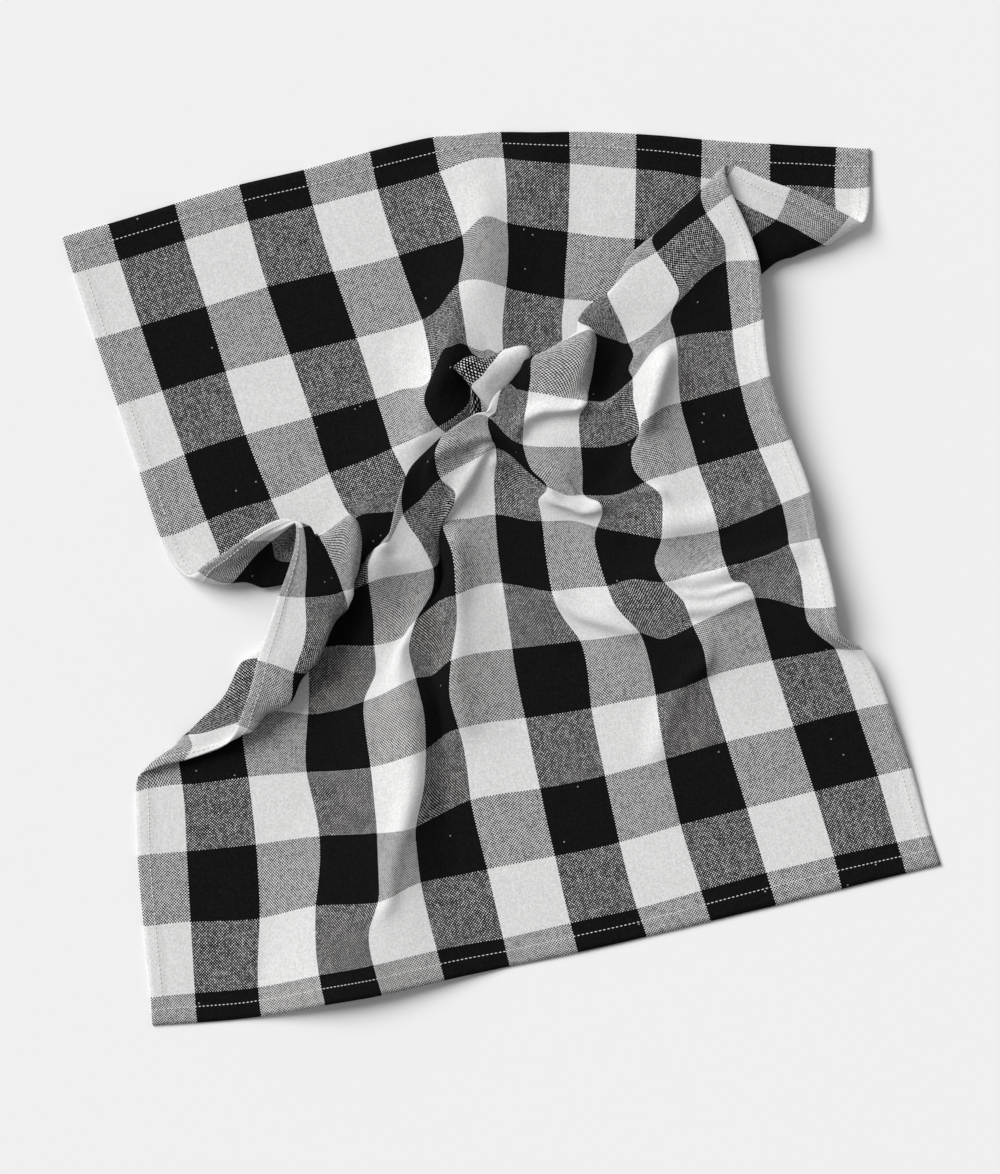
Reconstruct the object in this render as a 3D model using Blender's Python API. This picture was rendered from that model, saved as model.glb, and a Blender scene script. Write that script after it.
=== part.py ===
"""Check tea towel, pinched up in the middle and dropped on a flat surface.

One woven rectangle with a narrow hem all round, modelled as it lies: a thin closed sheet.
Metres, +Z up. The frame's origin is on the surface, under the middle of the towel's box.
"""
import bmesh
import bpy
import numpy as np

# ---------------------------------------------------------------- named sizes
CLOTH_WIDTH = 0.500          # hem edge to hem edge, across the bands
CLOTH_LENGTH = 0.670         # end hem to end hem, along the bands
CLOTH_THICKNESS = 0.0015     # one layer of the plain-weave cotton, pressed flat
FLATTEN_BELOW = 0.0003       # a lift smaller than this is pressed down on the surface
MILLIMETRE = 0.001
CELLS_ACROSS = 44            # mesh cells between the two side hems
SPAN_UNIT = 100.0            # millimetres in one unit of the bending spline

# Mesh rows down the cloth: each zone ends at `down` millimetres and is cut into `rows`.
ROW_ZONES = (
    # down, rows
    (190, 9),                # flat upper part
    (530, 37),               # folds, pinch and ribbon
    (670, 7),                # flat lower part
)

# The towel's shape. Each section is one line down the cloth, `across` millimetres from the
# left hem edge; its stations say where that line goes: (down the cloth, x, y, lift of the
# underside above the surface), all in millimetres.
SECTIONS = (
    # left hem edge: flat, curls over, crest, ribbon, flap, flat
    (0, (
        (0, -268, 208, 0), (148, -221, 65, 0), (210, -199, 7, 4), (236, -182, 6, 18),
        (312, -125, 35, 29), (330, -125, 18, 27), (400, -148, -50, 18), (441, -160, -88, 14),
        (468, -174, -104, 8), (483, -193, -111, 6), (505, -214, -117, 5), (525, -223, -130, 0),
        (567, -222, -169, 0), (670, -213, -273, 0),
    )),
    # inner edge of the left hem, through the same folds
    (14, (
        (222, -178, -3, 8), (256, -164, 9, 20), (296, -133, 30, 26), (430, -147, -82, 15),
        (441, -150, -92, 12), (452, -160, -95, 8), (483, -188, -102, 6), (515, -211, -113, 1),
        (525, -209, -127, 0),
    )),
    # first colour line, through the same folds
    (29, (
        (148, -194, 76, 0), (212, -172, 14, 0), (226, -167, -3, 4), (236, -163, -2, 12),
        (253, -152, 11, 16), (274, -140, 22, 20), (316, -120, 31, 31), (330, -118, 16, 28),
        (358, -119, -12, 22), (400, -126, -57, 17), (418, -129, -76, 13), (432, -143, -82, 9),
        (475, -184, -95, 6), (490, -195, -97, 4), (500, -198, -104, 1),
    )),
    # middle of the first dark band
    (49, (
        (222, -150, 12, 0), (243, -146, -6, 8), (258, -145, 3, 14), (280, -134, 16, 17),
        (318, -115, 30, 30), (380, -105, -33, 19), (396, -113, -52, 15), (460, -167, -77, 6),
        (484, -184, -89, 1),
    )),
    # second colour line: under the ribbon, then the lower layer
    (70, (
        (190, -141, 48, 0), (238, -124, 4, 1), (248, -122, -3, 5), (262, -122, 3, 13),
        (322, -109, 22, 29), (335, -103, 10, 27), (358, -96, -8, 22), (369, -94, -19, 17),
        (378, -101, -24, 12), (400, -118, -33, 9), (430, -143, -46, 7), (453, -159, -52, 4),
        (463, -162, -62, 0), (483, -160, -82, 0), (525, -155, -121, 0), (609, -148, -207, 0),
        (651, -149, -250, 0),
    )),
    # middle of the second pale band: the round top of the ribbon
    (90, (
        (232, -108, 16, 1), (255, -106, 0, 3), (290, -104, 14, 16), (306, -101, 26, 22),
        (320, -97, 36, 27), (335, -96, 24, 29), (366, -91, -12, 17), (400, -116, -22, 8),
        (432, -138, -32, 5), (470, -138, -66, 0),
    )),
    # third colour line: into the hollow and back under the ribbon
    (111, (
        (64, -143, 178, 0), (148, -116, 99, 0), (190, -105, 64, 0), (215, -95, 42, 1),
        (232, -90, 36, 2), (255, -86, 22, 2), (285, -92, 1, 3), (300, -98, 12, 9), (316, -94, 26, 19),
        (345, -91, 5, 19), (380, -110, -11, 8), (398, -120, -14, 5), (412, -121, -22, 1),
        (441, -117, -42, 0), (483, -118, -83, 0), (525, -119, -118, 0), (609, -113, -199, 2),
        (670, -107, -260, 5),
    )),
    # middle of the third dark band
    (131, (
        (232, -74, 40, 2), (275, -70, 14, 1), (290, -74, 6, 4), (318, -82, 11, 5), (345, -87, 5, 4),
        (365, -93, -3, 3), (385, -99, -9, 2), (420, -102, -22, 0),
    )),
    # fourth colour line: the bright ridge above the hollow
    (151, (
        (190, -67, 79, 5), (208, -59, 63, 4), (256, -52, 26, 3), (268, -54, 20, 8), (300, -58, 26, 12),
        (335, -68, 26, 15), (368, -77, 17, 19), (387, -81, 8, 19), (420, -79, -20, 7),
        (460, -77, -58, 2), (483, -84, -75, 2), (567, -76, -155, 4), (609, -75, -197, 6),
        (630, -81, -216, 6),
    )),
    # middle of the fourth pale band
    (171, (
        (148, -59, 116, 2), (178, -52, 92, 6), (192, -50, 85, 9), (230, -40, 60, 2), (250, -40, 46, 2),
        (280, -50, 38, 7), (300, -57, 40, 11), (330, -64, 36, 15), (355, -68, 24, 17),
        (375, -66, 14, 15), (400, -62, 2, 11), (420, -58, -12, 6), (441, -60, -35, 4),
    )),
    # fifth colour line: left side of the dark lobe
    (192, (
        (0, -81, 260, 0), (106, -49, 158, 1), (148, -43, 121, 10), (170, -47, 106, 12),
        (202, -31, 86, 5), (225, -24, 70, 1), (250, -29, 57, 4), (290, -47, 62, 10), (325, -58, 60, 16),
        (342, -61, 50, 17), (380, -50, 22, 12), (400, -42, 6, 9), (460, -57, -42, 6),
        (505, -48, -82, 8), (545, -48, -126, 10), (567, -53, -151, 10), (590, -52, -168, 8),
    )),
    # top of the dark lobe
    (205, (
        (148, -35, 139, 12), (170, -37, 118, 18), (190, -29, 98, 11), (203, -24, 93, 6),
    )),
    # middle of the fifth dark band
    (213, (
        (64, -44, 203, 1), (106, -38, 165, 3), (178, -26, 115, 9), (222, -20, 93, 2), (285, -38, 68, 7),
        (322, -52, 70, 15), (342, -50, 58, 14), (380, -42, 32, 9), (400, -38, 15, 5), (420, -36, 0, 3),
        (441, -39, -14, 4), (462, -40, -36, 4), (483, -42, -59, 2), (525, -36, -96, 0),
        (567, -34, -142, 0), (609, -29, -181, 0),
    )),
    # dark band, tucked under the tongue
    (217, (
        (190, -19, 111, 4), (205, -13, 113, 4), (222, -11, 106, 3),
    )),
    # left tip of the tongue
    (222, (
        (185, -19, 124, 5), (206, -17, 130, 9), (213, -22, 132, 13), (222, -28, 126, 13),
        (229, -19, 121, 9), (240, -13, 108, 3),
    )),
    # sixth colour line: over the tongue
    (233, (
        (22, -38, 249, 1), (64, -24, 209, 5), (106, -26, 180, 6), (160, -17, 136, 3), (184, -3, 134, 6),
        (195, 1, 138, 12), (214, -12, 122, 15), (229, -14, 112, 8), (238, -12, 103, 3),
        (266, -16, 80, 2), (330, -37, 84, 16), (345, -41, 73, 17), (358, -37, 60, 15),
        (378, -29, 52, 10), (400, -36, 33, 7), (420, -30, 17, 8), (441, -28, -9, 7), (483, -30, -50, 6),
        (505, -31, -72, 5), (567, -19, -135, 0),
    )),
    # sixth pale band: top of the tongue
    (242, (
        (148, -12, 139, 3), (170, 3, 133, 4), (191, 15, 141, 11), (200, 6, 131, 15),
        (222, -12, 110, 13),
    )),
    # right tip of the tongue
    (250, (
        (0, -24, 270, 0), (22, -18, 256, 2), (64, -12, 220, 7), (135, -12, 155, 5), (178, 8, 131, 5),
        (193, 17, 133, 11), (222, -6, 105, 11), (232, -6, 101, 4), (248, -7, 94, 1), (260, -9, 85, 3),
        (280, -11, 85, 4), (312, -16, 99, 10), (345, -24, 78, 11), (358, -21, 70, 8), (400, -20, 36, 5),
        (441, -15, -4, 4),
    )),
    # right side of the tongue
    (262, (
        (188, 10, 130, 6), (212, -1, 113, 3), (228, -4, 103, 1), (240, -4, 92, 1), (268, -3, 107, 8),
        (282, -6, 107, 10),
    )),
    # seventh colour line
    (273, (
        (64, 3, 217, 4), (130, 0, 152, 3), (160, 1, 129, 1), (185, 1, 115, 0), (205, 0, 104, 0),
        (217, 0, 97, 2), (235, 3, 108, 5), (255, 4, 120, 8), (305, -4, 101, 9), (316, -8, 98, 9),
        (358, -4, 79, 6), (380, -5, 60, 4), (525, 14, -85, 0), (567, 23, -128, 0),
    )),
    # middle of the seventh dark band
    (294, (
        (22, 20, 255, 3), (183, 19, 106, 2), (215, 14, 116, 5), (252, 12, 128, 8), (274, 8, 116, 10),
        (316, 2, 88, 9), (358, 11, 70, 3), (380, 12, 54, 2),
    )),
    # eighth colour line
    (314, (
        (22, 41, 254, 0), (106, 38, 171, 0), (137, 37, 141, 0), (170, 35, 114, 3), (200, 28, 124, 8),
        (235, 20, 134, 12), (255, 17, 131, 13), (274, 16, 114, 10), (340, 18, 66, 9), (358, 28, 56, 9),
        (378, 22, 48, 6), (441, 30, -7, 2), (483, 47, -38, 0), (525, 54, -79, 0), (670, 88, -219, 0),
    )),
    # middle of the eighth pale band
    (334, (
        (106, 50, 170, 0), (135, 48, 143, 0), (158, 48, 122, 1), (170, 48, 116, 4), (195, 46, 132, 10),
        (225, 48, 152, 14), (240, 50, 146, 18), (258, 46, 128, 17), (274, 38, 110, 12),
        (340, 36, 64, 9), (378, 44, 44, 8), (462, 52, -24, 3),
    )),
    # ninth colour line
    (355, (
        (90, 80, 182, 0), (118, 78, 158, 0), (134, 74, 148, 4), (160, 66, 156, 9), (198, 55, 170, 14),
        (232, 56, 149, 14), (250, 56, 134, 10), (295, 47, 96, 9), (358, 50, 50, 6), (375, 60, 43, 8),
        (420, 57, 20, 4), (441, 64, -4, 4), (460, 70, -18, 6), (483, 84, -33, 4), (609, 109, -150, 0),
    )),
    # middle of the ninth dark band: the dark hollow
    (375, (
        (112, 92, 164, 1), (126, 88, 156, 5), (155, 76, 166, 10), (232, 70, 145, 8), (265, 65, 113, 2),
        (288, 66, 100, 9), (340, 66, 62, 2), (358, 70, 50, 3), (420, 75, 12, 3), (441, 80, 0, 6),
        (483, 98, -37, 4),
    )),
    # tenth colour line
    (395, (
        (50, 120, 216, 0), (90, 116, 180, 0), (106, 112, 166, 3), (135, 98, 172, 9), (178, 62, 182, 13),
        (192, 64, 172, 14), (232, 77, 143, 9), (250, 80, 134, 10), (316, 84, 88, 9), (345, 80, 66, 9),
        (376, 97, 50, 9), (400, 97, 24, 7), (460, 110, -14, 8), (525, 125, -60, 4),
    )),
    # middle of the tenth pale band
    (416, (
        (98, 134, 174, 6), (190, 78, 188, 15), (250, 92, 142, 12), (274, 92, 138, 13),
        (300, 92, 120, 15), (316, 92, 101, 13), (340, 98, 82, 9), (358, 104, 63, 8), (380, 108, 45, 9),
        (420, 112, 12, 6),
    )),
    # eleventh colour line
    (436, (
        (0, 163, 265, 0), (22, 163, 241, 0), (64, 162, 201, 0), (78, 159, 186, 3), (140, 120, 212, 13),
        (215, 107, 174, 14), (250, 102, 156, 12), (316, 108, 107, 9), (400, 131, 29, 8),
        (441, 136, 7, 8), (455, 140, -2, 9), (470, 149, -4, 10), (567, 177, -90, 2),
    )),
    # middle of the eleventh dark band: the corner flap
    (457, (
        (55, 181, 208, 1), (66, 178, 196, 4), (95, 160, 204, 12), (172, 106, 220, 15),
    )),
    # twelfth colour line: inner edge of the corner flap
    (477, (
        (45, 203, 217, 2), (57, 199, 203, 5), (68, 193, 204, 10), (106, 167, 217, 15),
        (130, 148, 226, 16), (172, 121, 234, 18), (210, 134, 206, 17), (232, 136, 192, 15),
        (274, 140, 151, 13), (400, 170, 45, 11), (425, 174, 27, 11), (441, 175, 21, 11),
        (460, 181, 3, 12), (500, 188, -30, 11), (515, 200, -40, 9), (525, 203, -43, 7),
    )),
    # right hem edge: corner, flap, crest, raised side, flat
    (500, (
        (0, 225, 262, 1), (46, 221, 217, 8), (62, 213, 219, 12), (106, 176, 236, 17),
        (160, 136, 250, 20), (175, 136, 242, 23), (210, 147, 217, 20), (232, 156, 193, 18),
        (316, 163, 123, 18), (358, 176, 84, 16), (441, 193, 25, 16), (483, 203, -17, 17),
        (505, 207, -35, 15), (525, 219, -43, 12), (670, 268, -175, 0),
    )),
)


def bending_kernel(squared_distance):
    """Thin-plate spline kernel: the shape a thin sheet takes when it bends as little as it can."""
    return 0.5 * squared_distance * np.log(squared_distance + 1e-9)


def squared_distances(first, second):
    """Squared distance on the flat cloth between every point of two lists."""
    return ((first[:, None] - second[None]) ** 2).sum(axis=2)


def station_arrays():
    """Stations as flat-cloth positions (spline units) and places in space (millimetres)."""
    flat = []
    placed = []
    for across, stations in SECTIONS:
        for down, x, y, lift in stations:
            flat.append((across / SPAN_UNIT, down / SPAN_UNIT))
            placed.append((x, y, lift))
    return np.array(flat), np.array(placed, dtype=float)


def bend_sheet(across, down):
    """Places of cloth points, in metres, bent through all stations with the least bending."""
    flat, placed = station_arrays()
    count = len(flat)
    plane = np.hstack([np.ones((count, 1)), flat])
    system = np.zeros((count + 3, count + 3))
    system[:count, :count] = bending_kernel(squared_distances(flat, flat))
    system[:count, count:] = plane
    system[count:, :count] = plane.T
    target = np.zeros((count + 3, 3))
    target[:count] = placed
    weights = np.linalg.solve(system, target)
    points = np.column_stack([across.ravel(), down.ravel()]) / (SPAN_UNIT * MILLIMETRE)
    kernel = bending_kernel(squared_distances(points, flat))
    places = kernel @ weights[:count] + weights[count] + points @ weights[count + 1:]
    places *= MILLIMETRE
    places[:, 2] = np.maximum(places[:, 2] - FLATTEN_BELOW, 0.0)
    return places.reshape(across.shape + (3,))


def cloth_grid():
    """Flat-cloth coordinates of the mesh rows and columns, in metres."""
    across = np.linspace(0.0, CLOTH_WIDTH, CELLS_ACROSS + 1)
    down = [0.0]
    start = 0.0
    for end, rows in ROW_ZONES:
        for row in range(1, rows + 1):
            down.append((start + (end - start) * row / rows) * MILLIMETRE)
        start = end
    return np.meshgrid(across, np.array(down))


def sheet_normals(places):
    """Unit normals of the sheet, on the side that is up where the towel lies flat."""
    along_width = np.gradient(places, axis=1)
    along_length = np.gradient(places, axis=0)
    normals = np.cross(along_length, along_width)
    return normals / np.linalg.norm(normals, axis=2, keepdims=True)


def solid_faces(rows, columns):
    """Faces of a closed sheet: top skin, underside and the rim between them."""
    def top(row, column):
        return row * columns + column

    def under(row, column):
        return rows * columns + top(row, column)

    faces = []
    for row in range(rows - 1):
        for column in range(columns - 1):
            ring = ((row, column), (row + 1, column), (row + 1, column + 1), (row, column + 1))
            upper = [top(*corner) for corner in ring]
            lower = [under(*corner) for corner in ring]
            faces.append((upper[0], upper[1], upper[2]))
            faces.append((upper[0], upper[2], upper[3]))
            faces.append((lower[0], lower[2], lower[1]))
            faces.append((lower[0], lower[3], lower[2]))
    edge = [(row, 0) for row in range(rows)]
    edge += [(rows - 1, column) for column in range(1, columns)]
    edge += [(row, columns - 1) for row in range(rows - 2, -1, -1)]
    edge += [(0, column) for column in range(columns - 2, 0, -1)]
    for here, after in zip(edge, edge[1:] + edge[:1]):
        faces.append((top(*here), under(*here), under(*after)))
        faces.append((top(*here), under(*after), top(*after)))
    return faces


def build_towel():
    """The towel as one closed sheet, centred over the origin and resting on the surface."""
    across, down = cloth_grid()
    middle = bend_sheet(across, down)
    middle[..., 2] += CLOTH_THICKNESS / 2
    offset = sheet_normals(middle) * CLOTH_THICKNESS / 2
    skins = np.concatenate([(middle + offset).reshape(-1, 3), (middle - offset).reshape(-1, 3)])
    skins[:, :2] -= (skins[:, :2].min(axis=0) + skins[:, :2].max(axis=0)) / 2
    skins[:, 2] = np.maximum(skins[:, 2], 0.0)

    mesh = bpy.data.meshes.new("tea_towel")
    mesh.from_pydata(skins.tolist(), [], solid_faces(*across.shape))
    cleaned = bmesh.new()
    cleaned.from_mesh(mesh)
    bmesh.ops.recalc_face_normals(cleaned, faces=cleaned.faces)
    cleaned.to_mesh(mesh)
    cleaned.free()
    towel = bpy.data.objects.new("tea_towel", mesh)
    bpy.context.scene.collection.objects.link(towel)
    return towel


def cotton_material():
    """Dark and pale yarn together read as a mid grey, matt cotton."""
    material = bpy.data.materials.new("check_cotton")
    material.use_nodes = True
    shader = material.node_tree.nodes["Principled BSDF"]
    shader.inputs["Base Color"].default_value = (0.24, 0.24, 0.235, 1.0)
    shader.inputs["Roughness"].default_value = 0.92
    shader.inputs["Metallic"].default_value = 0.0
    return material


def main():
    """Clears the scene, then builds the towel."""
    for old in list(bpy.data.objects):
        bpy.data.objects.remove(old, do_unlink=True)
    towel = build_towel()
    towel.data.materials.append(cotton_material())


main()
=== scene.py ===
# %% [markdown]
# A check tea towel, pinched up in the middle and dropped on a flat surface.
# The real thing is one woven rectangle of yarn-dyed plain-weave cotton with a narrow sewn hem all
# round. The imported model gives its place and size; this file makes the cloth that is seen.

import bmesh
import bpy
import numpy as np
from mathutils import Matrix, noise


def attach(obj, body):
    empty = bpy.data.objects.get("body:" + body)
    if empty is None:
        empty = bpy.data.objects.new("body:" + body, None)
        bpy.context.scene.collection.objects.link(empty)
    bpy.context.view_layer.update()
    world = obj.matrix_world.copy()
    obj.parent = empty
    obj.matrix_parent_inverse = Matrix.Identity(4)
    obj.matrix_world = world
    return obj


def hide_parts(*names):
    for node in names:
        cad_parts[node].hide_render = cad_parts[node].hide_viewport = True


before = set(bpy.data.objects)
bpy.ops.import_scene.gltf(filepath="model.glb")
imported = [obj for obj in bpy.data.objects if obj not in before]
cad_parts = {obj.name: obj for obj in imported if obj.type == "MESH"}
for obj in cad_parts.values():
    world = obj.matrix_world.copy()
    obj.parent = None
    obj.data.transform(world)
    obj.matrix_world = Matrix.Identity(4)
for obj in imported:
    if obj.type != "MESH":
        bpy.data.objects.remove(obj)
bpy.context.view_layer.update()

# %% [markdown]
# The camera looks straight down, so it is set first. It stands high above the cloth with a
# long lens, because a far camera keeps raised folds in their true place, as a flat plan does.

# %% Camera
CAMERA_HEIGHT = 2.6
VIEW_HEIGHT = 0.7167          # how much of the surface the view's long side takes in
VIEW_CENTRE = (-0.0009, -0.0055)
SENSOR = 36.0                 # millimetres, along the long side
camera_data = bpy.data.cameras.new("camera")
camera_data.sensor_fit = "AUTO"
camera_data.sensor_width = SENSOR
camera_data.lens = SENSOR * CAMERA_HEIGHT / VIEW_HEIGHT
camera = bpy.data.objects.new("camera", camera_data)
camera.location = (*VIEW_CENTRE, CAMERA_HEIGHT)
bpy.context.scene.collection.objects.link(camera)
bpy.context.scene.camera = camera
print("lens", round(camera_data.lens, 1), "mm")

# %% [markdown]
# The light is one broad soft source up and to the left, and a pale sky that fills the
# shadows. A small lamp near the cloth would leave one side of the floor darker and cut hard
# shadows, so the lamp is a sun with a wide angle: even all over, and soft behind each fold.
# The view transform is Standard, because Blender's usual one presses pale tones together and
# white cloth on a pale floor would come out grey.

# %% Light
KEY_ELEVATION = 38.0          # degrees above the surface
KEY_AZIMUTH = 142.0           # degrees from +X, so it comes from the upper left
KEY_ANGLE = 38.0              # how wide the source looks from the cloth
KEY_STRENGTH = 3.50
SKY_STRENGTH = 0.30


def add_key_light():
    """A wide soft sun that shines down from the upper left."""
    data = bpy.data.lights.new("key_light", "SUN")
    data.energy = KEY_STRENGTH
    data.angle = np.radians(KEY_ANGLE)
    lamp = bpy.data.objects.new("key_light", data)
    lamp.rotation_euler = (np.radians(90.0 - KEY_ELEVATION), 0.0, np.radians(KEY_AZIMUTH + 90.0))
    bpy.context.scene.collection.objects.link(lamp)


def add_pale_sky():
    """An even white sky."""
    world = bpy.data.worlds.new("pale_sky")
    world.use_nodes = True
    sky = world.node_tree.nodes["Background"]
    sky.inputs["Color"].default_value = (1.0, 1.0, 1.0, 1.0)
    sky.inputs["Strength"].default_value = SKY_STRENGTH
    bpy.context.scene.world = world


add_key_light()
add_pale_sky()
bpy.context.scene.view_settings.view_transform = "Standard"
print("sun", KEY_STRENGTH, "sky", SKY_STRENGTH)

# %% [markdown]
# Shader maths below is written as plain expressions. A small class holds a socket, and each
# operator adds the Math node it stands for. Colours go through Mix nodes instead, because a
# Math node would turn them grey.

# %% A material's nodes as expressions
class Material:
    """One node material and the ways to add nodes to it."""

    def __init__(self, name):
        self.data = bpy.data.materials.new(name)
        self.data.use_nodes = True
        self.nodes = self.data.node_tree.nodes
        self.links = self.data.node_tree.links
        self.shader = self.nodes["Principled BSDF"]

    def put(self, socket, value):
        """Links a Value to a socket, or sets a plain number or colour on it."""
        if isinstance(value, Value):
            self.links.new(value.socket, socket)
        else:
            socket.default_value = value

    def add(self, kind, settings=None, sockets=None, out=0):
        """Any node: its type, its settings first, then the values or links of its sockets."""
        node = self.nodes.new(kind)
        for key, setting in (settings or {}).items():
            setattr(node, key, setting)
        for key, value in (sockets or {}).items():
            self.put(node.inputs[key], value)
        return Value(self, node.outputs[out])

    def mix(self, factor, first, second):
        """first where factor is 0, second where it is 1."""
        sockets = {0: factor, 6: first, 7: second}
        return self.add("ShaderNodeMix", {"data_type": "RGBA"}, sockets, out=2)


class Value:
    """A number that a socket gives, ready for + - * and the other operators used here."""

    def __init__(self, material, socket):
        self.material = material
        self.socket = socket

    def math(self, operation, *others):
        """A Math node with this value first."""
        values = dict(enumerate((self,) + others))
        return self.material.add("ShaderNodeMath", {"operation": operation}, values)

    def __add__(self, other):
        return self.math("ADD", other)

    __radd__ = __add__

    def __mul__(self, other):
        return self.math("MULTIPLY", other)

    __rmul__ = __mul__

    def __sub__(self, other):
        return self.math("SUBTRACT", other)

    def __rsub__(self, other):
        return self * -1.0 + other

    def __truediv__(self, other):
        return self.math("DIVIDE", other)

    def __mod__(self, other):
        return self.math("FLOORED_MODULO", other)

    def __lt__(self, other):
        return self.math("LESS_THAN", other)

    def __gt__(self, other):
        return self.math("GREATER_THAN", other)

    def floor(self):
        return self.math("FLOOR")

    def size(self):
        """The number without its sign."""
        return self.math("ABSOLUTE")

    def either(self, other):
        """1 where one of two masks is 1."""
        return self.math("MAXIMUM", other)


# %% [markdown]
# The towel lies with one diagonal fold across it, pinched up at the middle, a curl at the
# left and a turned-over corner at the upper right. A draped cloth like this could be dropped
# by a simulation, but a free drop never lands in a wanted shape. So the folds are placed one
# by one: each section below is one line down the cloth, and its stations say where it goes.
# There are more stations where a fold is tight.

# %% Sections of the towel
CLOTH_WIDTH = 0.500           # metres, hem edge to hem edge
CLOTH_LENGTH = 0.670
MILLIMETRE = 0.001
SPAN_UNIT = 100.0             # millimetres in one unit of the bending spline
TINY = 1e-9                   # keeps the logarithm finite where two places meet
POINTS_AT_ONCE = 8000         # cloth points worked out together, to save memory
FLATTEN_BELOW = 0.0003        # all lifts are lowered by this, so that flat cloth lies flat

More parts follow.
